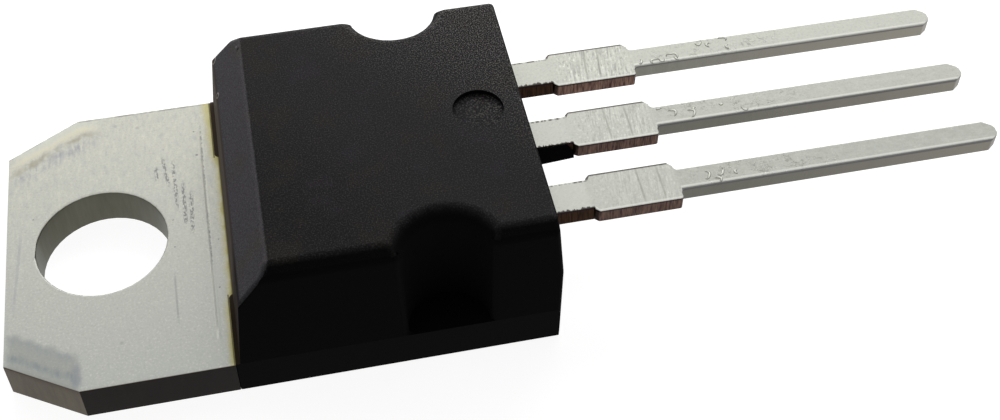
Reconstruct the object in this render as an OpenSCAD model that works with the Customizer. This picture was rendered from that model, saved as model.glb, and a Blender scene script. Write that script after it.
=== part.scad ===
// Power transistor in a TO-220 style package, lying on the back face of its tab.
// The origin is the centre of the mounting hole on the back face, the leads run
// along +X, and the marked face looks up along +Z. All lengths are in millimetres.

/* [Tab and die pad] */
// Width of the metal tab
tab_w = 10.12; // [9.9:0.02:10.4]
// Thickness of the tab and of the die pad behind it
tab_t = 1.25; // [1.2:0.01:1.32]
// Distance from the centre of the hole to the free end of the tab
tab_end = 2.75; // [2.6:0.05:2.95]
// Distance from the centre of the hole to the shoulders where the tab enters the body
shoulder_x = 3.51; // [3.45:0.01:3.6]
// Diameter of the mounting hole
hole_d = 3.82; // [3.6:0.02:3.9]
// Length of the cut corners of the tab, along the tab
corner_x = 2.04; // [1.6:0.02:2.3]
// Width of the cut corners of the tab, across the tab
corner_y = 1.21; // [0.8:0.01:1.6]
// Distance of the coined line from the shoulders
line_gap = 0.37; // [0.2:0.01:0.6]
// Width of the coined line
line_w = 0.12; // [0.08:0.01:0.2]
// Depth of the coined line, whose sides slope down to its middle
line_depth = 0.01; // [0.01:0.005:0.03]
// Distance of the ends of the coined line from the sides of the tab
line_inset = 1.1; // [0.4:0.1:2]
// Length over which each end of the coined line fades out
line_fade = 0.4; // [0.2:0.1:1]
// Width of the neck between the two notches that lock the tab into the body
neck_w = 5.3; // [4.6:0.1:6.4]
// Length of those notches, along the tab
neck_l = 1.1; // [0.8:0.1:1.4]
// Radius in the corners of those notches
neck_r = 0.15; // [0.05:0.05:0.25]
// Width of the die pad
pad_w = 7.4; // [6.8:0.1:7.4]
// Distance from the centre of the hole to the far end of the die pad
pad_end = 9.75; // [9.5:0.05:9.9]

/* [Moulded body] */
// Height of the body above the back face
body_h = 4.6; // [4.4:0.02:4.7]
// Lean of the end face beside the tab, measured along X
tab_face_lean = 0.23; // [0.1:0.01:0.3]
// Step from the shoulders to the foot of that end face
tab_face_step = 0.12; // [0.05:0.01:0.2]
// Height of the lower edge of the long bevel above the back face
bevel_z = 3.5; // [3.2:0.05:3.8]
// Length of the long bevel, measured along X
bevel_l = 0.9; // [0.6:0.05:1.2]
// Distance from the centre of the hole to the end face on the lead side, at the parting line
lead_face_x = 12.81; // [12.7:0.01:12.9]
// Draft of the lead face from the parting line up to the top
draft_up = 0.13; // [0.05:0.01:0.2]
// Draft of the lead face from the parting line down to the back
draft_down = 0.12; // [0.05:0.01:0.2]
// How far each side wall leans in between the tab's top face and the edge bevel
side_draft = 0.41; // [0.3:0.01:0.5]
// Width of the bevel along the top edges of the sides, across the body
edge_w = 0.3; // [0.2:0.01:0.4]
// Height of that bevel
edge_h = 0.35; // [0.2:0.01:0.45]
// Radius of the two upright corners beside the tab
corner_r = 0.06; // [0.04:0.01:0.4]
// Position of the side recesses along the body, from the centre of the hole
recess_x = 9.53; // [9.4:0.01:9.7]
// Distance of the axes of the side recesses from the middle of the body
recess_y = 4.95; // [4.9:0.01:5.05]
// Radius of the side recesses at their floor
recess_r_floor = 1.17; // [1.0:0.01:1.22]
// Radius of the side recesses below the edge bevel
recess_r_top = 1.34; // [1.25:0.01:1.45]
// Diameter of the round ejector mark on the top face
ejector_d = 1.5; // [1.2:0.02:1.8]
// Depth of the ejector mark
ejector_depth = 0.14; // [0.02:0.01:0.2]
// Distance of the ejector mark from the lead face's top edge
ejector_inset = 1.35; // [1.1:0.05:2]

/* [Leads] */
// Distance between neighbouring leads
pitch = 2.54; // [2.54:0.01:2.56]
// Thickness of the leads
lead_t = 0.48; // [0.44:0.01:0.56]
// Height of the underside of the leads, which is the parting line
lead_z = 2.62; // [2.5:0.01:2.72]
// Width of the roots of the leads across their top face
root_w = 1.04; // [0.96:0.02:1.14]
// Width of the roots across their underside, where the shear leaves them wider
root_foot = 1.18; // [1.16:0.02:1.3]
// Width of the wide part
wide_w = 1.4; // [1.32:0.02:1.5]
// Width of the slim part that goes through a circuit board
slim_w = 0.76; // [0.66:0.02:0.86]
// Distance from the lead face's parting line to the wide part
root_l = 1.42; // [1.2:0.02:1.6]
// Length of the wide part
wide_l = 2.5; // [2.2:0.02:2.6]
// Cut corner at the end of the wide part on the side of the gate lead
near_cut = 0.05; // [0.02:0.01:0.2]
// Cut corner at the end of the wide part on the other side
far_cut = 0.15; // [0.02:0.01:0.2]
// Distance from the centre of the hole to the tips of the leads
tip_x = 26.7; // [25.8:0.1:27.4]
// Length of the narrowed tip
tip_l = 0.3; // [0.2:0.02:0.5]
// Width of the end of the tip
tip_w = 0.4; // [0.24:0.02:0.5]
// Radius between the wide part and the slim part
lead_r = 0.14; // [0.08:0.02:0.18]
// Depth of the bond pads inside the body, along X
bond_l = 1.3; // [1:0.1:1.4]
// Width of the bond pads inside the body
bond_w = 2.3; // [1.8:0.1:2.4]
// Length of the resin flash beside the centre lead, from the parting line
flash_l = 1.3; // [0.8:0.05:1.35]
// Width of that flash across its foot
flash_w = 0.14; // [0.08:0.01:0.2]

/* [Chip and wires] */
// Length of the chip
die_l = 4.1; // [3.4:0.1:4.4]
// Width of the chip
die_w = 3.3; // [2.8:0.1:3.8]
// Thickness of the chip
die_t = 0.3; // [0.2:0.01:0.4]
// Distance from the centre of the hole to the middle of the chip
die_x = 7.1; // [6.9:0.1:7.2]
// Thickness of the solder under the chip
solder_t = 0.06; // [0.04:0.01:0.1]
// How far the solder reaches past the chip
solder_rim = 0.2; // [0.1:0.05:0.3]
// Number of source wires
source_wires = 2; // [1:1:2]
// Diameter of the source wires
source_wire_d = 0.38; // [0.3:0.01:0.4]
// Distance between the source wires
source_wire_gap = 0.8; // [0.6:0.05:0.9]
// Diameter of the gate wire
gate_wire_d = 0.2; // [0.15:0.01:0.25]
// Height of the wires' bows above the straight line between their feet
bow = 0.9; // [0.7:0.05:1]

/* [Hidden] */
$fn = 48;
far = 40;
half_w = tab_w / 2;
line_x = shoulder_x - line_gap;
pad_x = shoulder_x + neck_l;
face_foot_x = shoulder_x + tab_face_step;
face_top_x = face_foot_x + tab_face_lean;
lead_face_top = lead_face_x - draft_up;
lead_face_back = lead_face_x - draft_down;
edge_z = body_h - edge_h;
side_top = half_w - side_draft;
ejector_x = lead_face_top - ejector_inset;
wide_x = lead_face_x + root_l;
slim_x = wide_x + wide_l;
bond_x = lead_face_back - bond_l - 0.4;
root_x = lead_face_back - 1;
flash_x = lead_face_x + flash_l;
riser_x = pad_end + 0.5;
riser_top_x = bond_x - 0.1;
solder_z = tab_t;
die_z = solder_z + solder_t;
die_top = die_z + die_t;
lead_top = lead_z + lead_t;

// A rectangle between two corners with all four corners rounded.
module rounded_box(x0, y0, x1, y1, r) {
    translate([x0 + r, y0]) square([x1 - x0 - 2 * r, y1 - y0]);
    translate([x0, y0 + r]) square([x1 - x0, y1 - y0 - 2 * r]);
    for (x = [x0 + r, x1 - r], y = [y0 + r, y1 - r]) translate([x, y]) circle(r);
}

// ---- Tab, die pad and drain lead: one stamped strip of two thicknesses ----

module tab_outline() {
    difference() {
        union() {
            polygon([
                [-tab_end, half_w - corner_y], [-tab_end + corner_x, half_w], [pad_x, half_w],
                [pad_x, -half_w], [-tab_end + corner_x, -half_w], [-tab_end, -half_w + corner_y]
            ]);
            translate([pad_x - neck_r, -pad_w / 2]) square([pad_end - pad_x + neck_r, pad_w]);
        }
        for (side = [0, 1]) mirror([0, side]) {
            rounded_box(shoulder_x, neck_w / 2, pad_x, half_w + 1, neck_r);
            translate([pad_x - 2 * neck_r, pad_w / 2]) square([1, half_w]);
        }
    }
}

// Side view of the step that lifts the centre lead from the pad to the lead level.
module riser_profile() {
    pad_step = tab_t - lead_t;
    polygon([
        [pad_end - 0.6, pad_step], [riser_x, pad_step], [riser_top_x, lead_z], [wide_x - 1, lead_z],
        [wide_x - 1, lead_top], [riser_top_x - 0.2, lead_top], [riser_x - 0.2, tab_t], [pad_end - 0.6, tab_t]
    ]);
}

// A shallow line pressed into the tab beside the body, with sloping sides and ends.
module coined_line() {
    end_y = half_w - line_inset;
    translate([line_x, 0, tab_t]) intersection() {
        rotate([90, 0, 0]) linear_extrude(tab_w, center = true)
            polygon([[0, -line_depth], [line_w, line_depth], [-line_w, line_depth]]);
        rotate([90, 0, 90]) linear_extrude(1, center = true) polygon([
            [line_fade - end_y, -line_depth], [end_y - line_fade, -line_depth],
            [end_y + line_fade, line_depth], [-end_y - line_fade, line_depth]
        ]);
    }
}

module drain_strip() {
    difference() {
        union() {
            linear_extrude(tab_t) tab_outline();
            rotate([90, 0, 0]) linear_extrude(root_w, center = true) riser_profile();
            lead_blade();
        }
        translate([0, 0, -1]) cylinder(d = hole_d, h = tab_t + 2);
        coined_line();
    }
}

// ---- Leads ----

// Flat outline of a lead from the start of its wide part to its tip, on the X axis.
module lead_outline() {
    r = lead_r;
    polygon([
        [wide_x - 0.12, root_foot / 2], [wide_x, wide_w / 2], [slim_x - far_cut, wide_w / 2],
        [slim_x, wide_w / 2 - far_cut], [slim_x, slim_w / 2], [tip_x - tip_l, slim_w / 2],
        [tip_x - 0.06, tip_w / 2], [tip_x, tip_w / 4], [tip_x, -tip_w / 4], [tip_x - 0.06, -tip_w / 2],
        [tip_x - tip_l, -slim_w / 2], [slim_x, -slim_w / 2], [slim_x, near_cut - wide_w / 2],
        [slim_x - near_cut, -wide_w / 2], [wide_x, -wide_w / 2], [wide_x - 0.12, -root_foot / 2]
    ]);
    for (side = [0, 1]) mirror([0, side]) {
        translate([slim_x, slim_w / 2]) difference() {
            square(r);
            translate([r, r]) circle(r);
        }
    }
}

// Cross-section of a root, narrower across the top.
module root_section() {
    polygon([
        [root_foot / 2, lead_z], [root_w / 2, lead_top], [-root_w / 2, lead_top], [-root_foot / 2, lead_z]
    ]);
}

module lead_blade() {
    translate([0, 0, lead_z]) linear_extrude(lead_t) lead_outline();
    translate([root_x, 0, 0]) rotate([90, 0, 90]) linear_extrude(wide_x - 0.1 - root_x) root_section();
}

// An outer lead: the blade and the bond pad that anchors it inside the body.
module outer_lead(side) {
    translate([0, side * pitch, 0]) {
        lead_blade();
        translate([bond_x, -bond_w / 2, lead_z]) cube([bond_l, bond_w, lead_t]);
    }
}

// ---- Chip, solder and wires ----

module chip() {
    translate([die_x - die_l / 2, -die_w / 2, die_z]) cube([die_l, die_w, die_t]);
}

module solder() {
    l = die_l + 2 * solder_rim;
    w = die_w + 2 * solder_rim;
    translate([die_x - l / 2, -w / 2, solder_z]) cube([l, w, solder_t]);
}

// A wire bowed between two flattened feet. Both points lie on the surfaces bonded to.
module bond_wire(from, to, d) {
    foot_l = 1.6 * d;
    foot_h = 0.6 * d;
    lift = 0.56 * d;
    run = norm([to.x - from.x, to.y - from.y]);
    rise = to.z - from.z;
    chord = norm([run, rise]);
    radius = (chord * chord / 4 + bow * bow) / (2 * bow);
    half = asin(chord / 2 / radius);
    tilt = atan2(rise, run);
    translate(from) rotate([0, 0, atan2(to.y - from.y, to.x - from.x)]) {
        translate([-foot_l, -d / 2 * 1.1, 0]) cube([foot_l + d / 4, d * 1.1, foot_h]);
        translate([run - d / 4, -d / 2 * 1.1, rise]) cube([foot_l + d / 4, d * 1.1, foot_h]);
        translate([0, 0, lift]) rotate([90, -tilt, 0]) translate([chord / 2, bow - radius, 0])
            rotate([0, 0, 90 - half]) rotate_extrude(angle = 2 * half)
                translate([radius, 0]) circle(d = d, $fn = 20);
    }
}

module gate_wire() {
    from = [die_x + die_l / 2 - 0.7, -die_w / 2 + 0.55, die_top];
    bond_wire(from, [bond_x + 0.45, -pitch + 0.3, lead_top], gate_wire_d);
}

module source_wire(i) {
    shift = (i - (source_wires + 1) / 2) * source_wire_gap;
    from = [die_x + 0.9 - 0.5 * shift, 0.5 + shift, die_top];
    bond_wire(from, [bond_x + 0.45, pitch - 0.1 + shift, lead_top], source_wire_d);
}

// ---- Moulded body ----

// Side view: shelf beside the tab, leaning end face, long bevel, top, lead face with its parting ridge.
module body_side_view() {
    polygon([
        [shoulder_x, 0], [shoulder_x, tab_t], [face_foot_x, tab_t], [face_top_x, bevel_z],
        [face_top_x + bevel_l, body_h], [lead_face_top, body_h], [lead_face_x, lead_z], [lead_face_back, 0]
    ]);
}

// End view: upright up to the tab's top face, then drafted walls and the edge bevel.
module body_end_view() {
    right = [[half_w, 0], [half_w, tab_t], [side_top, edge_z], [side_top - edge_w, body_h]];
    left = [for (i = [len(right) - 1:-1:0]) [-right[i].x, right[i].y]];
    polygon(concat(right, left));
}

// Plan view with the two corners beside the tab rounded, starting at x.
module body_plan(x) {
    translate([x + corner_r, -half_w]) square([far, tab_w]);
    translate([x, corner_r - half_w]) square([far, tab_w - 2 * corner_r]);
    for (side = [-1, 1]) translate([x + corner_r, side * (half_w - corner_r)]) circle(corner_r);
}

module side_recess() {
    wall_h = edge_z - tab_t;
    translate([recess_x, recess_y, tab_t]) {
        cylinder(r1 = recess_r_floor, r2 = recess_r_top, h = wall_h);
        translate([0, 0, wall_h]) cylinder(r1 = recess_r_top, r2 = recess_r_top + edge_w, h = edge_h);
        translate([0, 0, wall_h + edge_h]) cylinder(r = recess_r_top + edge_w, h = 1);
    }
}

// Resin that crept along the near side of the centre lead's root and stayed there.
module resin_flash() {
    top_z = lead_top - 0.03;
    intersection() {
        translate([root_x, 0, 0]) rotate([90, 0, 90]) linear_extrude(flash_x - root_x) polygon([
            [0, top_z], [-root_w / 2 - 0.03, top_z],
            [-root_foot / 2 - flash_w, lead_z - 0.1], [0, lead_z - 0.1]
        ]);
        rotate([90, 0, 0]) linear_extrude(2 * root_foot, center = true) polygon([
            [root_x, lead_z - 0.1], [lead_face_x, lead_z - 0.1], [flash_x, lead_z - 0.02],
            [flash_x, lead_z + 0.15], [flash_x - 0.2, top_z], [root_x, top_z]
        ]);
    }
}

module body_form() {
    resin_flash();
    difference() {
        intersection() {
            rotate([90, 0, 0]) linear_extrude(far, center = true) body_side_view();
            rotate([90, 0, 90]) linear_extrude(far) body_end_view();
            union() {
                linear_extrude(tab_t) body_plan(shoulder_x);
                translate([0, 0, tab_t]) linear_extrude(body_h) body_plan(face_foot_x);
            }
        }
        for (side = [0, 1]) mirror([0, side, 0]) side_recess();
        translate([ejector_x, 0, body_h - ejector_depth]) cylinder(d = ejector_d, h = 1);
    }
}

// ---- Nodes ----

module mold_body() {
    color([0.2, 0.2, 0.21]) difference() {
        body_form();
        drain_strip();
        outer_lead(-1);
        outer_lead(1);
        chip();
        solder();
        gate_wire();
        for (i = [1:source_wires]) source_wire(i);
    }
}

module drain_tab() {
    color([0.76, 0.75, 0.71]) drain_strip();
}

module gate_lead() {
    color([0.76, 0.76, 0.72]) outer_lead(-1);
}

module source_lead() {
    color([0.76, 0.76, 0.72]) outer_lead(1);
}

module silicon_die() {
    color([0.35, 0.37, 0.42]) chip();
}

module die_attach_solder() {
    color([0.62, 0.62, 0.64]) solder();
}

module gate_bond_wire() {
    color([0.83, 0.83, 0.84]) gate_wire();
}

module source_bond_wire(i) {
    color([0.83, 0.83, 0.84]) source_wire(i);
}

mold_body();
drain_tab();
gate_lead();
source_lead();
silicon_die();
die_attach_solder();
gate_bond_wire();
for (i = [1:source_wires])
    source_bond_wire(i);
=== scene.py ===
"""Finishes, small marks, light and camera for a power transistor in a TO-220 style package."""

import math

import bpy
from mathutils import Matrix, Vector


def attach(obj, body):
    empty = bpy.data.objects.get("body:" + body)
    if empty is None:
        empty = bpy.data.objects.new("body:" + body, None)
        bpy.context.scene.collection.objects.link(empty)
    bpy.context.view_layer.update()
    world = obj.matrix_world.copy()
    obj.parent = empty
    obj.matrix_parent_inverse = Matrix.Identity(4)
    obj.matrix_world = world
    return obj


MM = 0.001

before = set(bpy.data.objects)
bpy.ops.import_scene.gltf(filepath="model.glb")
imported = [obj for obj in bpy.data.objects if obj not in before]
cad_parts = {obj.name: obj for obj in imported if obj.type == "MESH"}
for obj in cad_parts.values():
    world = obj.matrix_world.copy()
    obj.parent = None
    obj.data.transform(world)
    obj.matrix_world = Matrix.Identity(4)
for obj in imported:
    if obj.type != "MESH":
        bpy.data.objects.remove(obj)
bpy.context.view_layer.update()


# ---- Sizes of the part that its marks follow, in mm ----

# The tab: face, half width, the shoulders and the neck where it enters the body, the coined line, the hole.
TAB_TOP = 1.25
TAB_HALF = 5.06
SHOULDER_X = 3.51
NECK_HALF = 2.65
COINED_LINE_X = 3.14
HOLE_RADIUS = 1.91

# The cut corner starts here at the tab's free end, and this direction points inwards from it.
CORNER_X = -2.75
CORNER_Y = 3.85
INWARD_X = 0.51
INWARD_Y = -0.86

# The body: the foot of its end face on the tab, the reach of its long bevel, a box round its ejector mark.
BODY_FOOT_X = 3.63
BEVEL_START_X = 3.7
BEVEL_END_X = 5.0
MARK_START_X = 10.3
MARK_END_X = 12.3
MARK_HALF = 0.95

# The leads: spacing, upper face, half widths, and where the wide and the slim parts start.
PITCH = 2.54
LEAD_TOP = 3.10
ROOT_HALF = 0.52
WIDE_HALF = 0.70
SLIM_HALF = 0.38
WIDE_X = 14.23
SLIM_X = 16.73
ROOT_END_X = WIDE_X - 0.11

# Places hidden in the body, where the tab's marks end and the leads' marks start, and two beyond the part.
TAB_MARKS_END_X = 8.0
LEAD_MARKS_START_X = 12.0
PAST_TIPS_X = 27.0
FAR_OFF = 40.0

# Edges sharper than this are broken. Faces that lie flatter than the other angle are joined first.
SHARP_ANGLE = math.radians(24)
FLAT_ANGLE = math.radians(0.6)
BODY_EDGE = 0.14
TAB_EDGE = 0.07
LEAD_EDGE = 0.03
CENTRE_LEAD_SHARE = 0.4
CRISP = 0.01


# ---- Helpers ----

def srgb(text):
    """Linear RGBA of a colour written as an sRGB hex value."""
    parts = [int(text[i:i + 2], 16) / 255 for i in (1, 3, 5)]
    linear = [c / 12.92 if c <= 0.04045 else ((c + 0.055) / 1.055) ** 2.4 for c in parts]
    return (*linear, 1.0)


def add(tree, kind, inputs=None, **settings):
    """A node with its settings. An input is a number, a colour, a socket, or a node's first output."""
    made = tree.nodes.new(kind if "Node" in kind else "ShaderNode" + kind)
    for name, value in settings.items():
        setattr(made, name, value)
    for key, value in (inputs or {}).items():
        if isinstance(value, bpy.types.Node):
            value = value.outputs[0]
        if isinstance(value, bpy.types.NodeSocket):
            tree.links.new(value, made.inputs[key])
        else:
            made.inputs[key].default_value = value
    return made


def new_material(name):
    """An empty node material, its tree, and the place on the part in millimetres."""
    material = bpy.data.materials.new(name)
    material.use_nodes = True
    tree = material.node_tree
    tree.nodes.clear()
    metres = add(tree, "TexCoord").outputs["Object"]
    place = add(tree, "VectorMath", {0: metres, "Scale": 1 / MM}, operation="SCALE")
    return material, tree, place


def window(tree, value, low, high, soft):
    """1 where the value is between low and high, with soft ends."""
    rise = add(tree, "MapRange", {0: value, 1: low - soft, 2: low + soft}, interpolation_type="SMOOTHSTEP")
    fall = add(tree, "MapRange", {0: value, 1: high + soft, 2: high - soft}, interpolation_type="SMOOTHSTEP")
    return add(tree, "Math", {0: rise, 1: fall}, operation="MULTIPLY")


def grain(tree, place, size, detail=2.0):
    """Noise whose features have a size in millimetres along X, Y and Z."""
    scaled = add(tree, "VectorMath", {0: place, 1: [1 / s for s in size]}, operation="MULTIPLY")
    return add(tree, "TexNoise", {"Vector": scaled, "Scale": 1.0, "Detail": detail, "Roughness": 0.6})


def laid(tree, ground, *coats):
    """A ground colour with coats laid over it in turn, each a mask, its strength and a colour."""
    for mask, strength, colour in coats:
        mask = add(tree, "Math", {0: mask, 1: strength}, operation="MULTIPLY")
        ground = add(tree, "Mix", {0: mask, 6: ground, 7: colour}, data_type="RGBA").outputs[2]
    return ground


def both(tree, *masks):
    """1 only where every mask is 1."""
    found = masks[0]
    for mask in masks[1:]:
        found = add(tree, "Math", {0: found, 1: mask}, operation="MULTIPLY")
    return found


def any_of(tree, *masks):
    """1 where one of the masks is 1."""
    found = masks[0]
    for mask in masks[1:]:
        found = add(tree, "Math", {0: found, 1: mask}, operation="MAXIMUM")
    return found


def specks(tree, place, marks):
    """1 on small round marks, each given by its centre and radius in millimetres."""
    found = []
    for *centre, radius in marks:
        gap = add(tree, "VectorMath", {0: place, 1: centre}, operation="DISTANCE").outputs["Value"]
        found.append(add(tree, "MapRange", {0: gap, 1: radius * 1.4, 2: radius * 0.6}))
    return any_of(tree, *found)


def strokes(tree, place, lines, half_width):
    """1 along straight scratches seen from above, each from one point in X and Y to another."""
    found = []
    for start, end in lines:
        start = Vector((*start, 0.0))
        run = Vector((*end, 0.0)) - start
        along = run.normalized()
        across = Vector((-along.y, along.x, 0.0))
        offset = add(tree, "VectorMath", {0: place, 1: start}, operation="SUBTRACT")
        reach = add(tree, "VectorMath", {0: offset, 1: along}, operation="DOT_PRODUCT").outputs["Value"]
        aside = add(tree, "VectorMath", {0: offset, 1: across}, operation="DOT_PRODUCT").outputs["Value"]
        thin = window(tree, aside, -half_width, half_width, half_width * 0.5)
        found.append(both(tree, thin, window(tree, reach, 0.0, run.length, run.length * 0.15)))
    return any_of(tree, *found)


def faces(tree):
    """How far the surface faces along X, Y and Z."""
    return add(tree, "SeparateXYZ", {0: add(tree, "NewGeometry").outputs["Normal"]}).outputs


# ---- Moulded epoxy ----

# Small chips: rings at the lower edge of the long bevel, and on the upper edge a pit of painted shade with a
# painted glint. Centres and radii in mm.
CHIP_RINGS = [(3.91, 4.58, 3.55, 0.13), (3.91, 3.05, 3.55, 0.09)]
CHIP_PITS = [(4.70, 3.93, 4.56, 0.06)]
CHIP_GLINTS = [(4.66, 4.06, 4.50, 0.04)]


def end_face_painted_reflection(tree, x, y, z, facing):
    """Where the end face above the tab and its ledge carry a painted reflection of the shiny tab, and its
    tone.
    """
    before_bevel = add(tree, "MapRange", {0: x, 1: 3.95, 2: 3.85})
    above_tab = add(tree, "MapRange", {0: z, 1: TAB_TOP - 0.05, 2: TAB_TOP - 0.01})
    sideways = add(tree, "Math", {0: facing[1]}, operation="ABSOLUTE")
    endways = add(tree, "MapRange", {0: sideways, 1: 0.6, 2: 0.3})
    # The painted reflection is pale from the middle to the far end, dark at the near end, and darker and
    # warmer towards the foot.
    tone = laid(
        tree, srgb("#2A2322"),
        (add(tree, "MapRange", {0: y, 1: -3.5, 2: -2.4}), 1.0, srgb("#595049")),
        (add(tree, "MapRange", {0: z, 1: 1.7, 2: 1.3}), 0.7, srgb("#3A2F24")),
    )
    return both(tree, before_bevel, above_tab, endways), tone


def chip_rings(tree, place):
    """1 along the thin pale rims of the round chips."""
    rims = []
    for *centre, radius in CHIP_RINGS:
        gap = add(tree, "VectorMath", {0: place, 1: centre}, operation="DISTANCE").outputs["Value"]
        rims.append(window(tree, gap, radius * 0.75, radius * 1.1, 0.015))
    return any_of(tree, *rims)


def moulded_epoxy():
    """Filled black epoxy from a spark-eroded mould: dull, with a grain that can be felt.

    The draft walls and recess floor are painted near black as painted shade; the long bevel is paler, a
    painted sheen.
    """
    material, tree, place = new_material("moulded_epoxy")
    x, y, z = add(tree, "SeparateXYZ", {0: place}).outputs
    facing = faces(tree)

    # The eroded grain is 0.04 mm wide. Its pale specks are painted glints and its hollows painted shade,
    # both stronger towards the far corner at the leads, where the light grazes.
    fine = grain(tree, place, (0.04, 0.04, 0.04), 1.0)
    cloud = grain(tree, place, (1.5, 1.5, 1.5), 4.0)
    corner = add(tree, "Math", {0: y, 1: 0.9, 2: x}, operation="MULTIPLY_ADD")
    grazing_glints = {0: corner, 1: 9.0, 2: 15.5, 3: 0.18, 4: 1.0}
    rough = add(tree, "MapRange", grazing_glints, interpolation_type="SMOOTHSTEP")
    mottle = add(tree, "MapRange", {0: cloud, 1: 0.5, 2: 0.68}, interpolation_type="SMOOTHSTEP")
    wear = add(tree, "MapRange", {0: cloud, 1: 0.48, 2: 0.32}, interpolation_type="SMOOTHSTEP")
    face_tone = laid(
        tree, srgb("#2B2A2B"),
        # Darker towards the near left corner: painted shade, where less light falls.
        (add(tree, "MapRange", {0: corner, 1: 7.5, 2: 3.0}), 0.6, srgb("#1B1A1B")),
        (mottle, 0.45, srgb("#302D29")),
        (wear, 0.5, srgb("#302D32")),
        # Painted glints on the grain and painted shade in its hollows.
        (both(tree, add(tree, "MapRange", {0: fine, 1: 0.5, 2: 0.72}), rough), 0.9, srgb("#807E7A")),
        (both(tree, add(tree, "MapRange", {0: fine, 1: 0.48, 2: 0.3}), rough), 1.0, srgb("#0A0A0B")),
    )
    # The long bevel: a paler copy of the face's tones, a painted sheen where it mirrors the white floor.
    painted_bevel_sheen = laid(
        tree, srgb("#555357"),
        (mottle, 0.5, srgb("#585347")),
        (wear, 0.5, srgb("#5B555E")),
        (add(tree, "MapRange", {0: fine, 1: 0.5, 2: 0.75}), 0.5, srgb("#77757A")),
        (add(tree, "MapRange", {0: fine, 1: 0.48, 2: 0.25}), 0.5, srgb("#2A292B")),
    )

    leaning = window(tree, facing[0], -0.9, -0.35, 0.12)
    on_bevel = both(tree, leaning, window(tree, x, BEVEL_START_X, BEVEL_END_X, 0.1))
    # Painted shade: the draft walls and the recess floor are near black, darker still below the tab's face.
    upright = add(tree, "MapRange", {0: facing[2], 1: 0.9, 2: 0.55}, interpolation_type="SMOOTHSTEP")
    upright = add(tree, "Math", {0: upright, 1: on_bevel}, operation="SUBTRACT", use_clamp=True)
    recess_floor = add(tree, "MapRange", {0: z, 1: 1.5, 2: 1.3})
    below_tab_face = add(tree, "MapRange", {0: z, 1: TAB_TOP + 0.05, 2: TAB_TOP - 0.05})
    end_face_reflection, end_face_reflection_tone = end_face_painted_reflection(tree, x, y, z, facing)
    tone = laid(
        tree, face_tone,
        (on_bevel, 0.9, painted_bevel_sheen),
        (any_of(tree, upright, recess_floor), 1.0, srgb("#0A0A0B")),
        (both(tree, upright, below_tab_face), 0.8, srgb("#040404")),
        # The painted reflection of the tab on the end face above it.
        (end_face_reflection, 1.0, end_face_reflection_tone),
        # The pit is painted shade and its glint a painted highlight.
        (specks(tree, place, CHIP_PITS), 0.8, srgb("#141314")),
        (specks(tree, place, CHIP_GLINTS), 0.7, srgb("#8F8B88")),
        (chip_rings(tree, place), 0.9, srgb("#B5ABA5")),
    )

    bump = add(tree, "Bump", {"Strength": 0.8, "Distance": 0.02 * MM, "Height": both(tree, fine, rough)})
    shader = add(tree, "BsdfPrincipled", {
        "Base Color": tone, "Roughness": 0.7, "Specular IOR Level": 0.03, "Normal": bump,
    })
    add(tree, "OutputMaterial", {"Surface": shader})
    return material


# ---- Tin-plated copper: the leads ----

# The deepest rub lines, two on each lead, each from one point in X and Y to another in mm.
DEEP_RUBS = [
    ((15.33, 3.12), (15.19, 2.07)), ((15.76, 3.13), (15.62, 1.98)),
    ((15.30, 0.60), (15.28, -0.55)), ((15.95, 0.55), (15.93, -0.60)),
    ((15.62, -1.95), (15.60, -3.15)), ((16.25, -2.0), (16.22, -3.1)),
]


def rub_marks(tree, place, across, row):
    """Coats for the rub lines across the wide parts, and where they are sunk.

    The lines are thin, close together and nearly square to the lead, with flecks between them.
    """
    x, y, z = add(tree, "SeparateXYZ", {0: place}).outputs
    leaning = add(tree, "Math", {0: across, 1: -0.13, 2: x}, operation="MULTIPLY_ADD")
    turned = add(tree, "CombineXYZ", {0: leaning, 1: y, 2: z})
    lines = grain(tree, turned, (0.075, 0.9, 1.0))
    flecks = grain(tree, turned, (0.06, 0.16, 1.0))
    patchy = add(tree, "MapRange", {0: grain(tree, place, (0.5, 0.6, 1.0)), 1: 0.35, 2: 0.6})
    clearer = add(tree, "MapRange", {0: row, 1: -1.0, 2: 1.0, 3: 0.4, 4: 1.0})
    rubbed = both(tree, window(tree, x, WIDE_X + 0.42, SLIM_X - 0.13, 0.25), patchy, clearer)
    flecked = both(tree, window(tree, x, WIDE_X + 0.07, SLIM_X - 0.03, 0.2), clearer)
    dark_lines = both(tree, rubbed, add(tree, "MapRange", {0: lines, 1: 0.51, 2: 0.6}))
    pale_lines = both(tree, rubbed, add(tree, "MapRange", {0: lines, 1: 0.47, 2: 0.38}))
    dark_flecks = both(tree, flecked, add(tree, "MapRange", {0: flecks, 1: 0.58, 2: 0.7}))
    pale_flecks = both(tree, flecked, add(tree, "MapRange", {0: flecks, 1: 0.42, 2: 0.3}))
    deep = strokes(tree, place, DEEP_RUBS, 0.03)
    coats = [
        (dark_flecks, 0.7, srgb("#8E8E86")),
        (pale_flecks, 0.8, srgb("#E4E4DC")),
        (dark_lines, 0.6, srgb("#94958F")),
        (pale_lines, 0.6, srgb("#E0E1D8")),
        (deep, 0.45, srgb("#86877F")),
    ]
    return coats, any_of(tree, dark_lines, deep)


def grip_marks(tree, place, x):
    """Coats for the dents and curled lines where the slim parts were gripped, and where they stand up."""
    patchy = add(tree, "MapRange", {0: grain(tree, place, (0.6, 0.6, 1.0)), 1: 0.42, 2: 0.6})
    gripped = both(tree, patchy, window(tree, x, SLIM_X + 0.17, SLIM_X + 4.77, 0.8))
    dents = grain(tree, place, (0.14, 0.14, 1.0), 3.0)
    dents = both(tree, gripped, add(tree, "MapRange", {0: dents, 1: 0.54, 2: 0.64}))
    curls = window(tree, grain(tree, place, (0.42, 0.34, 1.0), 3.0), 0.49, 0.51, 0.012)
    curls = both(tree, curls, gripped)
    return [(curls, 0.6, srgb("#7E7E76")), (dents, 0.7, srgb("#92938B"))], curls


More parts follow.
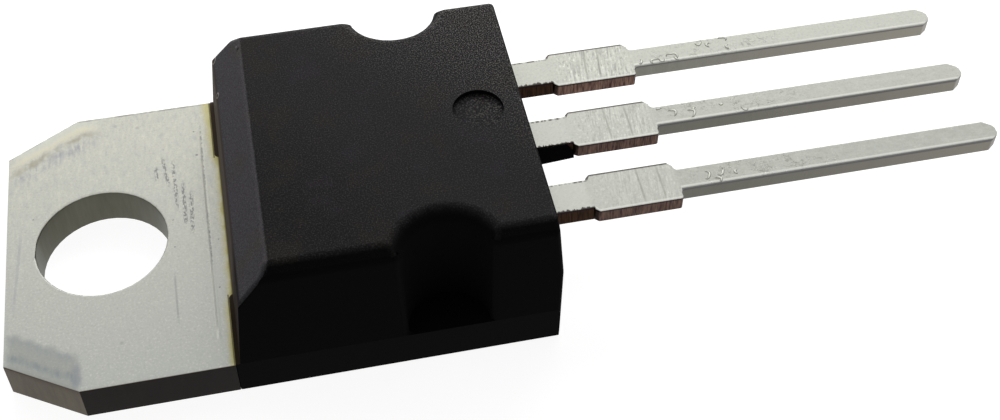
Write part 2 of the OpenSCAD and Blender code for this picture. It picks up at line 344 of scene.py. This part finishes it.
def lead_edges(tree, place, x, across, row):
    """Coats for the leads' long edges: a painted highlight near the near edge, dark lines outside it, and
    resin left at the root.
    """
    wider = add(tree, "MapRange", {0: x, 1: ROOT_END_X, 2: WIDE_X, 3: ROOT_HALF, 4: WIDE_HALF})
    slimmer = add(tree, "MapRange", {0: x, 1: SLIM_X - 0.03, 2: SLIM_X + 0.03, 4: WIDE_HALF - SLIM_HALF})
    half = add(tree, "Math", {0: wider, 1: slimmer}, operation="SUBTRACT")
    near_gap = add(tree, "Math", {0: across, 1: half}, operation="ADD")
    far_gap = add(tree, "Math", {0: half, 1: across}, operation="SUBTRACT")
    on_root = window(tree, x, LEAD_MARKS_START_X, ROOT_END_X, 0.02)
    on_wide = window(tree, x, WIDE_X - 0.1, SLIM_X, 0.02)
    on_slim = window(tree, x, SLIM_X, PAST_TIPS_X, 0.05)

    # A painted highlight runs just inside the near edge; on the slim parts painted shade lies between it and
    # the edge.
    wide_edge_highlight = both(tree, on_wide, window(tree, near_gap, 0.02, 0.08, 0.02))
    slim_edge_highlight = both(tree, on_slim, window(tree, near_gap, 0.08, 0.14, 0.02))
    edge_share = add(tree, "MapRange", {0: row, 1: 1.0, 2: 0.0, 3: 0.6, 4: 0.9})
    near_edge_shade = both(tree, on_slim, edge_share, add(tree, "MapRange", {0: near_gap, 1: 0.06, 2: 0.035}))

    # The same ragged grain breaks up the far edge of the root and the brink of the resin.
    ragged = grain(tree, place, (0.09, 5.0, 1.0))
    broken = add(tree, "MapRange", {0: ragged, 1: 0.45, 2: 0.6})
    far_line = add(tree, "MapRange", {0: far_gap, 1: 0.085, 2: 0.05})
    far_line = both(tree, far_line, any_of(tree, on_wide, both(tree, on_root, broken)))
    brink = add(tree, "MapRange", {0: ragged, 1: 0.4, 2: 0.75, 3: 0.0, 4: 0.1})
    resin = add(tree, "Math", {0: brink, 1: near_gap}, operation="SUBTRACT")
    resin = both(tree, on_root, add(tree, "MapRange", {0: resin, 1: -0.015, 2: 0.015}))
    return [
        (any_of(tree, wide_edge_highlight, slim_edge_highlight), 0.55, srgb("#DCDDD6")),
        (near_edge_shade, 0.9, srgb("#55545A")),
        (far_line, 0.9, srgb("#403A35")),
        (resin, 0.9, srgb("#302C27")),
    ]


def lead_face(tree, place, tin):
    """Colour and height of the leads' faces: dull patches, rub lines, grip marks and edges."""
    x, y, _ = add(tree, "SeparateXYZ", {0: place}).outputs
    row = add(tree, "Math", {0: add(tree, "Math", {0: y, 1: PITCH}, operation="DIVIDE")}, operation="ROUND")
    across = add(tree, "Math", {0: row, 1: -PITCH, 2: y}, operation="MULTIPLY_ADD")

    # The slim parts are dull in blotches and the roots are pale, both more so on the gate's side.
    nearer = add(tree, "MapRange", {0: row, 1: 1.0, 2: -1.0, 3: 0.1, 4: 0.4})
    blotch = add(tree, "MapRange", {0: grain(tree, place, (0.35, 0.2, 1.0), 3.0), 1: 0.35, 2: 0.65})
    blotch = add(tree, "MapRange", {0: blotch, 3: 0.5, 4: 1.3})
    slim_tone = both(tree, window(tree, x, SLIM_X, PAST_TIPS_X, 0.1), nearer, blotch)
    root_tone = both(tree, window(tree, x, LEAD_MARKS_START_X, WIDE_X - 0.2, 0.1), nearer)

    rubs, sunk = rub_marks(tree, place, across, row)
    grips, raised = grip_marks(tree, place, x)
    colour = laid(
        tree, tin,
        (slim_tone, 1.0, srgb("#A3A49D")),
        (root_tone, 1.0, srgb("#D0D1C8")),
        *rubs,
        *grips,
        *lead_edges(tree, place, x, across, row),
    )
    return colour, add(tree, "Math", {0: raised, 1: sunk}, operation="SUBTRACT")


def lead_cut(tree, place):
    """Colour of the leads' sheared sides: oxidised root, bare copper on the wide part, tinned beyond it,
    with painted shade.
    """
    x, y, z = add(tree, "SeparateXYZ", {0: place}).outputs
    shear = add(tree, "MapRange", {0: grain(tree, place, (0.05, 0.5, 0.5), 3.0), 1: 0.35, 2: 0.65})
    soft_shear = grain(tree, place, (0.2, 0.5, 0.9), 3.0)
    # The nearer leads' sides are darker: painted shade.
    nearer = add(tree, "MapRange", {0: y, 1: 2.5, 2: -0.5})
    copper = laid(tree, srgb("#34211C"), (shear, 1.0, srgb("#7A6155")), (nearer, 0.4, srgb("#271B1D")))
    oxide = laid(tree, srgb("#1C120C"), (shear, 1.0, srgb("#38261A")))

    # The tinned side grows paler towards the tip and carries painted shade on the nearer leads, and a thin
    # line of painted shade runs under its upper edge.
    outer = add(tree, "MapRange", {0: x, 1: 18.0, 2: 26.0})
    shaded = both(tree, nearer, add(tree, "MapRange", {0: x, 1: 18.0, 2: 26.0, 3: 1.0, 4: 0.5}))
    tinned = laid(
        tree, srgb("#74736A"),
        (soft_shear, 1.0, srgb("#82817A")),
        (outer, 0.8, srgb("#8C887E")),
        (shaded, 0.6, srgb("#57564F")),
        (window(tree, z, LEAD_TOP - 0.06, LEAD_TOP + 0.2, 0.02), 0.7, srgb("#504F54")),
    )
    # The same line of painted shade under the upper edge runs along the copper before the slim part.
    under_edge_shade = window(tree, z, LEAD_TOP - 0.07, LEAD_TOP + 0.2, 0.02)
    before_slim = window(tree, x, LEAD_MARKS_START_X, SLIM_X, 0.02)
    return laid(
        tree, copper,
        (add(tree, "MapRange", {0: x, 1: SLIM_X - 0.03, 2: SLIM_X + 0.01}), 1.0, tinned),
        (window(tree, x, LEAD_MARKS_START_X, ROOT_END_X, 0.03), 1.0, oxide),
        (both(tree, under_edge_shade, before_slim), 0.8, srgb("#20121C")),
    )


# ---- Tin-plated copper: the tab ----

# Rows of pits across the tab and grit in the coined line, each from one point in X and Y to another in mm.
PIT_ROWS = [
    ((1.69, 2.59), (1.72, 2.05)), ((1.91, 2.92), (2.05, 1.82)), ((2.22, 2.69), (2.27, 0.85)),
    ((2.48, 1.79), (2.48, 0.14)), ((2.70, 1.38), (2.67, -0.15)),
]
GRIT_LINES = [
    ((COINED_LINE_X, 4.0), (COINED_LINE_X, 1.4)), ((COINED_LINE_X, 0.6), (COINED_LINE_X, -1.5)),
]
SCRATCHES = [((2.04, -1.65), (2.06, -3.25))]
FAINT_SCRATCHES = [((-2.34, 0.6), (-2.50, -2.0))]

# Single specks and smudges on the tab's face: X, Y and radius in mm.
TAB_SPECKS = [(x, y, TAB_TOP, radius) for x, y, radius in (
    (2.93, 3.87, 0.03), (2.97, 2.87, 0.04), (-1.99, 1.24, 0.025), (2.10, 0.41, 0.02),
    (2.10, -0.62, 0.025), (1.95, 3.29, 0.02), (3.39, -0.58, 0.02), (3.29, -2.34, 0.025),
)]
TAB_SMUDGES = [(x, y, TAB_TOP, radius) for x, y, radius in (
    (0.47, -3.72, 0.05), (0.51, 4.60, 0.05), (1.2, 4.4, 0.06),
)]


def roll_mottling(tree, place, y):
    """Coats for the pale and dark mottling that the rolls left, strongest on the source side."""
    roll = grain(tree, place, (0.13, 0.34, 1.0), 4.0)
    share = add(tree, "MapRange", {0: y, 1: -2.0, 2: 3.0, 3: 0.2, 4: 1.0})
    cool = both(tree, share, add(tree, "MapRange", {0: roll, 1: 0.53, 2: 0.7}))
    warm = both(tree, share, add(tree, "MapRange", {0: roll, 1: 0.47, 2: 0.3}))
    return [(cool, 0.4, srgb("#A5A7A8")), (warm, 0.4, srgb("#D6D3C4"))]


def coined_line(tree, place, x, y, side, dash):
    """Coats for the coined line: towards its near end painted light on its dark slope and painted shade on
    its pale one even it out, and there is grit at its far end.
    """
    evened_by_paint = add(tree, "MapRange", {0: y, 1: 0.5, 2: -2.0})
    evened_by_paint = both(tree, window(tree, side, -FAR_OFF, 4.1, 0.1), evened_by_paint)
    dark_slope = window(tree, x, COINED_LINE_X - 0.07, COINED_LINE_X - 0.01, CRISP)
    pale_slope = window(tree, x, COINED_LINE_X + 0.01, COINED_LINE_X + 0.07, CRISP)
    grit = strokes(tree, place, GRIT_LINES, 0.025)
    return [
        # Painted light on the dark slope and painted shade on the pale one.
        (both(tree, evened_by_paint, dark_slope), 0.45, srgb("#D6D7CE")),
        (both(tree, evened_by_paint, pale_slope), 0.5, srgb("#9FA19C")),
        (both(tree, dash, grit), 0.45, srgb("#5F606A")),
    ]


def clamp_marks(tree, place, x, y, inset, far, near):
    """Coats for the marks along the cut corners, and how far they stand up and are sunk.

    The far corner has a ridge with a painted highlight, painted shadow at its foot and smeared metal beyond
    it, and the near corner two dull bands.
    """
    wave = grain(tree, place, (0.3, 0.5, 1.0), 3.0)
    wavy = add(tree, "Math", {0: wave, 1: 0.4, 2: inset}, operation="MULTIPLY_ADD")
    patchy = add(tree, "MapRange", {0: grain(tree, place, (0.45, 0.45, 1.0)), 1: 0.35, 2: 0.6})
    streak = add(tree, "MapRange", {0: grain(tree, place, (0.11, 0.5, 1.0), 3.0), 1: 0.42, 2: 0.62})
    half_streaks = add(tree, "MapRange", {0: streak, 3: 0.4, 4: 1.0})

    far_reach = both(tree, far, window(tree, x, -2.55, -0.1, 0.35))
    rim = both(tree, far_reach, window(tree, inset, 0.0, 0.42, 0.08))
    # The ridge's pale coat is a painted highlight and the foot's coat painted shadow.
    ridge = both(tree, far_reach, window(tree, wavy, 0.50, 0.72, 0.1))
    foot = both(tree, far_reach, patchy, window(tree, wavy, 0.78, 0.98, 0.08))
    smear = both(tree, far_reach, streak, patchy, window(tree, wavy, 0.85, 1.4, 0.2))

    near_reach = both(tree, near, window(tree, x, -2.65, -0.75, 0.15))
    near_zone = both(tree, near_reach, window(tree, wavy, -0.5, 1.15, 0.15))
    outer_band = both(tree, near_reach, half_streaks, window(tree, wavy, 0.38, 0.62, 0.12))
    inner_band = both(tree, near_reach, half_streaks, window(tree, wavy, 0.92, 1.16, 0.14))
    wavy_x = add(tree, "Math", {0: wave, 1: 0.2, 2: x}, operation="MULTIPLY_ADD")
    bands_meet = both(tree, window(tree, wavy_x, -0.78, -0.54, 0.1), window(tree, y, -4.92, -4.2, 0.16))
    coats = [
        (rim, 0.5, srgb("#D0D1C6")),
        (smear, 0.85, srgb("#9C9DA3")),
        (foot, 0.9, srgb("#A5A190")),
        (ridge, 0.6, srgb("#D3CEB6")),
        (near_zone, 0.6, srgb("#8C8F8A")),
        (inner_band, 0.5, srgb("#8E9498")),
        (outer_band, 0.75, srgb("#82898D")),
        (bands_meet, 0.55, srgb("#80858D")),
    ]
    return coats, any_of(tree, ridge, rim), outer_band


def flux_stain(tree, place, x, y, side):
    """Coats for the stain where flux crept out beside the body, and for painted shadow at the body's foot
    and shoulders.
    """
    creep = grain(tree, place, (0.3, 0.35, 1.0), 3.0)
    brink = add(tree, "Math", {0: creep, 1: 0.2, 2: x}, operation="MULTIPLY_ADD")
    at_neck = add(tree, "MapRange", {0: side, 1: 2.9, 2: 2.4, 4: 0.11})
    brink = add(tree, "Math", {0: brink, 1: at_neck}, operation="SUBTRACT")
    baked = add(tree, "MapRange", {0: brink, 1: 3.53, 2: 3.62})
    far_end = add(tree, "MapRange", {0: y, 1: 2.0, 2: 5.0, 4: 0.14})
    brink = add(tree, "Math", {0: brink, 1: far_end}, operation="ADD")
    stain = add(tree, "MapRange", {0: brink, 1: 3.38, 2: 3.66}, interpolation_type="SMOOTHSTEP")
    near_end = add(tree, "MapRange", {0: y, 1: -2.8, 2: -4.6})
    # Painted shadow where the body stands on the tab, and along the shoulders beside the neck.
    contact_shadow = add(tree, "MapRange", {0: x, 1: BODY_FOOT_X - 0.05, 2: BODY_FOOT_X - 0.01})
    beside_neck = window(tree, side, NECK_HALF, FAR_OFF, CRISP)
    shoulder_shadow = both(tree, window(tree, x, SHOULDER_X - 0.04, SHOULDER_X, CRISP), beside_neck)
    return [
        (stain, 0.8, srgb("#B8B075")),
        (both(tree, stain, near_end), 0.45, srgb("#8A8455")),
        (baked, 0.6, srgb("#918A48")),
        (any_of(tree, contact_shadow, shoulder_shadow), 0.8, srgb("#4A4630")),
    ]


def tab_face(tree, place, tin):
    """Colour and height of the tab's face: mottling, the coined line, clamp marks, rows of pits, a stain."""
    x, y, _ = add(tree, "SeparateXYZ", {0: place}).outputs
    side = add(tree, "Math", {0: y}, operation="ABSOLUTE")
    far = add(tree, "MapRange", {0: y, 1: -0.1, 2: 0.1})
    near = add(tree, "MapRange", {0: y, 1: 0.1, 2: -0.1})

    # Distance in from the cut corners or from the sides, whichever is less.
    from_start = -INWARD_X * CORNER_X - INWARD_Y * CORNER_Y
    along_x = add(tree, "Math", {0: x, 1: INWARD_X, 2: from_start}, operation="MULTIPLY_ADD")
    from_corner = add(tree, "Math", {0: side, 1: INWARD_Y, 2: along_x}, operation="MULTIPLY_ADD")
    from_side = add(tree, "Math", {0: TAB_HALF, 1: side}, operation="SUBTRACT")
    inset = add(tree, "Math", {0: from_corner, 1: from_side}, operation="MINIMUM")

    # Pits and grit are small dashes that the same grain breaks up.
    dash = add(tree, "MapRange", {0: grain(tree, place, (0.05, 0.1, 1.0), 1.0), 1: 0.46, 2: 0.56})
    pit_rows = both(tree, dash, strokes(tree, place, PIT_ROWS, 0.055))
    pits = any_of(tree, pit_rows, specks(tree, place, TAB_SPECKS))

    # The burr left along the far edges, dark where it casts a shadow.
    burr = add(tree, "MapRange", {0: inset, 1: 0.1, 2: 0.05})
    burr_share = add(tree, "MapRange", {0: grain(tree, place, (0.5, 0.5, 1.0)), 1: 0.4, 2: 0.55})

    clamps, raised, pressed = clamp_marks(tree, place, x, y, inset, far, near)
    colour = laid(
        tree, tin,
        *roll_mottling(tree, place, y),
        *coined_line(tree, place, x, y, side, dash),
        *clamps,
        (pits, 0.52, srgb("#484A58")),
        (specks(tree, place, TAB_SMUDGES), 0.35, srgb("#83848A")),
        (strokes(tree, place, SCRATCHES, 0.03), 0.4, srgb("#7F8085")),
        (strokes(tree, place, FAINT_SCRATCHES, 0.04), 0.3, srgb("#9395A0")),
        (both(tree, burr, far, burr_share), 0.6, srgb("#5C5B58")),
        *flux_stain(tree, place, x, y, side),
    )
    sunk = any_of(tree, pits, pressed)
    return colour, add(tree, "Math", {0: raised, 1: sunk}, operation="SUBTRACT")


def tab_cut(tree, place, facing):
    """Colour of the tab's sheared edges: long sides of copper near black as painted shade, olive on the cut
    corners, grey in the hole.
    """
    z = add(tree, "SeparateXYZ", {0: place}).outputs[2]
    shear = grain(tree, place, (0.15, 0.15, 1.2), 3.0)
    across = add(tree, "Math", {0: facing[1]}, operation="ABSOLUTE")
    trimmed = add(tree, "MapRange", {0: across, 1: 0.9, 2: 0.98})
    flat = add(tree, "VectorMath", {0: place, 1: (1.0, 1.0, 0.0)}, operation="MULTIPLY")
    radius = add(tree, "VectorMath", {0: flat}, operation="LENGTH").outputs["Value"]
    in_hole = add(tree, "MapRange", {0: radius, 1: HOLE_RADIUS + 0.14, 2: HOLE_RADIUS + 0.09})
    upper = add(tree, "MapRange", {0: z, 1: TAB_TOP - 0.3, 2: TAB_TOP - 0.05})
    olive = laid(tree, srgb("#3C352B"), (shear, 1.0, srgb("#5A5141")), (upper, 0.5, srgb("#35201F")))
    # Sheared copper on the long sides, painted near black as painted shade.
    brown_and_shade = laid(tree, srgb("#080504"), (shear, 1.0, srgb("#170F0C")))
    grey = laid(tree, srgb("#54544A"), (shear, 1.0, srgb("#66665B")))
    return laid(tree, olive, (trimmed, 1.0, brown_and_shade), (in_hole, 1.0, grey))


# ---- Tin-plated copper: the whole finish ----

def tin_plated_copper(name, with_tab):
    """Matt tin over stamped copper: pale warm grey on the rolled faces, darker where the shear cut it, plus
    painted sheen and shade.
    """
    material, tree, place = new_material(name)
    x, y, _ = add(tree, "SeparateXYZ", {0: place}).outputs
    facing = faces(tree)

    # Matt tin's crystals are a few micrometres wide. They are drawn at 0.06 mm, so that they show. A painted
    # sheen brightens the plating towards the source side, the far one, and it is a little brighter on the
    # leads.
    fine = grain(tree, place, (0.06, 0.06, 0.06))
    cloud = grain(tree, place, (0.9, 2.2, 1.0), 4.0)
    painted_far_sheen = add(tree, "MapRange", {0: y, 1: -5.0, 2: 4.0})
    lead_tone = add(tree, "MapRange", {0: x, 1: 6.0, 2: 14.0})
    tin = laid(
        tree, srgb("#AEB0AB"),
        (painted_far_sheen, 1.0, srgb("#C3C3B9")),
        (lead_tone, 0.4, srgb("#CACBC3")),
        (cloud, 0.25, srgb("#B4B5AC")),
        (add(tree, "MapRange", {0: fine, 1: 0.55, 2: 0.75}), 0.5, srgb("#9D9E98")),
        (add(tree, "MapRange", {0: fine, 1: 0.45, 2: 0.25}), 0.5, srgb("#D2D3CA")),
    )

    colour, height = lead_face(tree, place, tin)
    cut_colour = lead_cut(tree, place)
    if with_tab:
        on_tab = add(tree, "MapRange", {0: x, 1: TAB_MARKS_END_X + 0.1, 2: TAB_MARKS_END_X})
        tab_colour, tab_height = tab_face(tree, place, tin)
        colour = laid(tree, colour, (on_tab, 1.0, tab_colour))
        height = add(tree, "Mix", {0: on_tab, 2: height, 3: tab_height}, data_type="FLOAT")
        cut_colour = laid(tree, cut_colour, (on_tab, 1.0, tab_cut(tree, place, facing)))
    level = add(tree, "Math", {0: facing[2]}, operation="ABSOLUTE")
    cut = add(tree, "MapRange", {0: level, 1: 0.75, 2: 0.35}, interpolation_type="SMOOTHSTEP")
    colour = laid(tree, colour, (cut, 1.0, cut_colour))

    rough = add(tree, "MapRange", {0: cloud, 3: 0.38, 4: 0.5})
    relief = add(tree, "Math", {0: fine, 1: 0.25, 2: height}, operation="MULTIPLY_ADD")
    bump = add(tree, "Bump", {"Strength": 0.5, "Distance": 0.015 * MM, "Height": relief})
    shader = add(tree, "BsdfPrincipled", {
        "Base Color": colour, "Metallic": 1.0, "Roughness": rough, "Normal": bump,
    })
    add(tree, "OutputMaterial", {"Surface": shader})
    return material


def smeared_tin():
    """Tin pushed up into curled burrs: a painted highlight on top, painted shade in dull grey where it folds
    onto the lead.
    """
    material, tree, place = new_material("smeared_tin")
    z = add(tree, "SeparateXYZ", {0: place}).outputs[2]
    # A painted highlight on the top of each burr, painted shade at its foot.
    crest_highlight = add(tree, "MapRange", {0: z, 1: LEAD_TOP + 0.008, 2: LEAD_TOP + 0.022})
    # The burrs hold the same fine crystals as the plating, drawn at 0.05 mm.
    fine = grain(tree, place, (0.05, 0.05, 0.05))
    colour = laid(tree, srgb("#72726A"), (crest_highlight, 1.0, srgb("#DCDDD4")), (fine, 0.2, srgb("#AEAFA8")))
    shader = add(tree, "BsdfPrincipled", {"Base Color": colour, "Metallic": 1.0, "Roughness": 0.5})
    add(tree, "OutputMaterial", {"Surface": shader})
    return material


def plain_finish(name, colour, metallic, roughness, grain_mm):
    """A finish for the parts inside the body: one tone with a fine grain."""
    material, tree, place = new_material(name)
    bump = add(tree, "Bump", {
        "Strength": 0.2, "Distance": 0.01 * MM, "Height": grain(tree, place, (grain_mm, grain_mm, grain_mm)),
    })
    shader = add(tree, "BsdfPrincipled", {
        "Base Color": srgb(colour), "Metallic": metallic, "Roughness": roughness, "Normal": bump,
    })
    add(tree, "OutputMaterial", {"Surface": shader})
    return material


# ---- Finishes and edges of the CAD pieces ----

def edges_to_break(name, weigh):
    """A node group that gives sharp edges the bevel weight that weigh works out from their place in mm."""
    group = bpy.data.node_groups.new(name, "GeometryNodeTree")
    group.interface.new_socket("Geometry", in_out="INPUT", socket_type="NodeSocketGeometry")
    group.interface.new_socket("Geometry", in_out="OUTPUT", socket_type="NodeSocketGeometry")
    came_in = add(group, "NodeGroupInput")
    angle = add(group, "GeometryNodeInputMeshEdgeAngle")
    sharp = add(group, "Math", {0: angle, 1: SHARP_ANGLE}, operation="GREATER_THAN")
    metres = add(group, "GeometryNodeInputPosition")
    place = add(group, "VectorMath", {0: metres, "Scale": 1 / MM}, operation="SCALE")
    weight = both(group, sharp, weigh(group, *add(group, "SeparateXYZ", {0: place}).outputs))
    marked = add(group, "GeometryNodeStoreNamedAttribute", {
        "Geometry": came_in, "Name": "bevel_weight_edge", "Value": weight,
    }, domain="EDGE")
    add(group, "NodeGroupOutput", {0: marked})
    return group


def body_edges(tree, x, y, z):
    """The body's upper edges except those of the ejector mark, and the upright edges at its lead end."""
    side = add(tree, "Math", {0: y}, operation="ABSOLUTE")
    upper = window(tree, z, 3.4, FAR_OFF, CRISP)
    corners = both(
        tree,
        window(tree, side, 4.3, FAR_OFF, CRISP),
        window(tree, x, 7.5, FAR_OFF, CRISP),
        window(tree, z, TAB_TOP + 0.05, FAR_OFF, CRISP),
    )
    across_mark = window(tree, side, -FAR_OFF, MARK_HALF, CRISP)
    mark = both(tree, across_mark, window(tree, x, MARK_START_X, MARK_END_X, CRISP))
    found = any_of(tree, upper, corners)
    return add(tree, "Math", {0: found, 1: mark}, operation="SUBTRACT", use_clamp=True)


def strip_edges(tree, x, _, z):
    """The upper edges of the tab, and more finely those of the centre lead."""
    tab = both(
        tree,
        window(tree, x, -FAR_OFF, SHOULDER_X - 0.06, CRISP),
        window(tree, z, TAB_TOP - 0.05, FAR_OFF, CRISP),
    )
    lead = both(tree, window(tree, x, 13.0, FAR_OFF, CRISP), window(tree, z, 2.0, FAR_OFF, CRISP))
    lead = add(tree, "Math", {0: lead, 1: CENTRE_LEAD_SHARE}, operation="MULTIPLY")
    return any_of(tree, tab, lead)


def dress(name, material, edge_mm=0.0, weigh=None):
    """Gives a CAD piece its material and breaks its sharp edges by a small bevel."""
    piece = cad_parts[name]
    piece.material_slots[0].material = material
    if not edge_mm:
        return
    weld = piece.modifiers.new("weld", "WELD")
    weld.merge_threshold = 0.001 * MM
    flat = piece.modifiers.new("flat_faces", "DECIMATE")
    flat.decimate_type = "DISSOLVE"
    flat.angle_limit = FLAT_ANGLE
    if weigh:
        marks = piece.modifiers.new("edges_to_break", "NODES")
        marks.node_group = edges_to_break(name + "_edges", weigh)
    bevel = piece.modifiers.new("broken_edges", "BEVEL")
    bevel.width = edge_mm * MM
    bevel.segments = 3
    bevel.limit_method = "WEIGHT" if weigh else "ANGLE"
    bevel.angle_limit = SHARP_ANGLE
    bevel.use_clamp_overlap = weigh is None
    bevel.harden_normals = True


epoxy = moulded_epoxy()
strip = tin_plated_copper("tin_plated_copper_strip", True)
leads = tin_plated_copper("tin_plated_copper_leads", False)

# Inside the body: sawn silicon is slate blue and glossy, reflowed solder dull grey, drawn aluminium bright.
silicon = plain_finish("silicon_chip", "#4A505C", 0.0, 0.25, 0.4)
solder = plain_finish("lead_tin_solder", "#8E8F92", 1.0, 0.4, 0.3)
wire = plain_finish("aluminium_bond_wire", "#C9CACC", 1.0, 0.3, 0.1)

dress("mold_body", epoxy, BODY_EDGE, body_edges)
dress("drain_tab", strip, TAB_EDGE, strip_edges)
dress("gate_lead", leads, LEAD_EDGE)
dress("source_lead", leads, LEAD_EDGE)
dress("silicon_die", silicon)
dress("die_attach_solder", solder)
for node_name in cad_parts:
    if node_name.endswith("_wire") or "_wire_" in node_name:
        dress(node_name, wire)


# ---- Burrs on the leads ----

# Each burr: its centre in X and Y, its radius, where its arc starts and how far it turns, in mm and degrees.
SOURCE_BURRS = [
    (17.47, 2.24, 0.14, 20, 200), (17.68, 2.34, 0.09, 190, 160), (18.03, 2.35, 0.17, 300, 230),
    (18.22, 2.30, 0.10, 120, 150), (19.00, 2.84, 0.12, 200, 190), (19.34, 2.64, 0.09, 60, 200),
    (19.81, 2.77, 0.13, 330, 180), (19.95, 2.45, 0.10, 100, 150), (16.95, 2.36, 0.09, 250, 170),
]
DRAIN_BURRS = [
    (17.33, 0.03, 0.13, 280, 220), (17.87, -0.08, 0.15, 260, 210), (18.10, 0.05, 0.08, 80, 160),
    (19.59, -0.17, 0.10, 150, 180), (17.00, 0.22, 0.08, 30, 150), (18.90, 0.16, 0.07, 200, 170),
]
GATE_BURRS = [
    (17.57, -2.53, 0.14, 250, 190), (17.88, -2.79, 0.11, 300, 180), (18.00, -2.45, 0.15, 240, 160),
    (18.55, -2.60, 0.08, 90, 160),
]

# A burr's half width, how far it stands up and how far its foot is sunk, in mm, and the steps along its arc.
BURR_HALF = 0.05
BURR_HEIGHT = 0.03
BURR_FOOT = 0.004
BURR_STEPS = 16

# The burr's section: shares of its half width and of its height.
BURR_PROFILE = [(-1.0, 0.0), (-0.6, 0.6), (0.0, 1.0), (0.6, 0.6), (1.0, 0.0)]


def burrs(name, arcs, material):
    """Curled burrs in one piece: low ridges along short arcs, pointed at both ends, on a lead's face."""
    points = []
    quads = []
    for centre_x, centre_y, radius, start, turn in arcs:
        first = len(points)
        for i in range(BURR_STEPS + 1):
            share = i / BURR_STEPS
            angle = math.radians(start + turn * share)
            swell = max(math.sin(math.pi * share), 0.05) ** 0.6
            for outward, upward in BURR_PROFILE:
                reach = radius * (1 + 0.12 * math.sin(3 * angle)) + BURR_HALF * swell * outward
                points.append((
                    (centre_x + reach * math.cos(angle)) * MM,
                    (centre_y + reach * math.sin(angle)) * MM,
                    (LEAD_TOP - BURR_FOOT + BURR_HEIGHT * swell * upward) * MM,
                ))
        row = len(BURR_PROFILE)
        for i in range(BURR_STEPS):
            for j in range(row - 1):
                corner = first + i * row + j
                quads.append((corner, corner + row, corner + row + 1, corner + 1))
        quads.append(tuple(first + j for j in range(row)))
        quads.append(tuple(first + BURR_STEPS * row + j for j in reversed(range(row))))
    mesh = bpy.data.meshes.new(name)
    mesh.from_pydata(points, [], quads)
    mesh.shade_smooth()
    mesh.materials.append(material)
    piece = bpy.data.objects.new(name, mesh)
    bpy.context.scene.collection.objects.link(piece)
    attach(piece, "root")


smeared = smeared_tin()
burrs("source_lead_burrs", SOURCE_BURRS, smeared)
burrs("drain_lead_burrs", DRAIN_BURRS, smeared)
burrs("gate_lead_burrs", GATE_BURRS, smeared)


# ---- Floor, light and camera ----

def seen_directly(tree):
    """1 for camera, glossy and transmission rays."""
    path = add(tree, "LightPath").outputs
    mirrored = any_of(tree, path["Is Glossy Ray"], path["Is Transmission Ray"])
    return any_of(tree, path["Is Camera Ray"], mirrored)


def floor():
    """White paper. Seen directly it is mostly white by itself, which keeps the shadow light."""
    material, tree, _ = new_material("white_paper")
    glow = add(tree, "Math", {0: seen_directly(tree), 1: 0.92}, operation="MULTIPLY")
    white = add(tree, "Emission", {"Color": srgb("#FFFFFF"), "Strength": glow})
    lit = add(tree, "BsdfDiffuse", {"Color": srgb("#9A9A9A")})
    add(tree, "OutputMaterial", {"Surface": add(tree, "AddShader", {0: lit, 1: white})})
    mesh = bpy.data.meshes.new("floor")
    half = 2.0
    corners = [(-half, -half, 0), (half, -half, 0), (half, half, 0), (-half, half, 0)]
    mesh.from_pydata(corners, [], [(0, 1, 2, 3)])
    paper = bpy.data.objects.new("floor", mesh)
    paper.location.z = -0.02 * MM
    paper.data.materials.append(material)
    bpy.context.scene.collection.objects.link(paper)


def lamp(name, place_mm, aim_mm, size_mm, radiance, mirrored):
    """A soft box at a place, turned to a point. Radiance 1 is as bright as white paper."""
    data = bpy.data.lights.new(name, "AREA")
    data.shape = "RECTANGLE"
    data.size = size_mm[0] * MM
    data.size_y = size_mm[1] * MM
    data.energy = radiance * math.pi * data.size * data.size_y
    made = bpy.data.objects.new(name, data)
    made.location = Vector(place_mm) * MM
    made.rotation_euler = (Vector(aim_mm) - Vector(place_mm)).to_track_quat("-Z", "Y").to_euler()
    made.visible_camera = False
    made.visible_glossy = mirrored
    bpy.context.scene.collection.objects.link(made)


def sky():
    """A white world where it is seen, and as fill light one that is bright beyond the part, dim in front."""
    world = bpy.data.worlds.new("studio")
    world.use_nodes = True
    tree = world.node_tree
    tree.nodes.clear()
    direction = add(tree, "TexCoord").outputs["Generated"]
    beyond = add(tree, "SeparateXYZ", {0: direction}).outputs[1]
    rising = {0: beyond, 1: -0.1, 2: 0.7, 3: 0.08, 4: 0.9}
    fill = add(tree, "MapRange", rising, interpolation_type="SMOOTHSTEP")
    level = add(tree, "Mix", {0: seen_directly(tree), 2: fill, 3: 1.0}, data_type="FLOAT")
    background = add(tree, "Background", {"Color": srgb("#FFFFFF"), "Strength": level})
    add(tree, "OutputWorld", {"Surface": background})
    bpy.context.scene.world = world


def camera():
    """A close standing view from the gate side, with the frame shifted down from the lens's axis."""
    data = bpy.data.cameras.new("camera")
    data.sensor_width = 36.0
    data.lens = 52.537
    data.shift_x = 0.00808
    data.shift_y = -0.12663
    data.clip_start = 1 * MM
    data.clip_end = 10.0
    right = Vector((0.979057, -0.203507, 0.005679))
    back = Vector((-0.145662, -0.680737, 0.717900))
    up = back.cross(right)
    made = bpy.data.objects.new("camera", data)
    turn = Matrix((right, up, back)).transposed()
    made.matrix_world = Matrix.Translation(Vector((5.66319, -28.36128, 35.47891)) * MM) @ turn.to_4x4()
    bpy.context.scene.collection.objects.link(made)
    bpy.context.scene.camera = made


floor()
lamp("far_softbox", (18, 34, 26), (9, 0, 2), (50, 20), 5.0, False)
lamp("far_sheen", (35, 140, 50), (9, 0, 2), (200, 60), 1.6, True)
sky()
camera()
bpy.context.scene.view_settings.view_transform = "Standard"
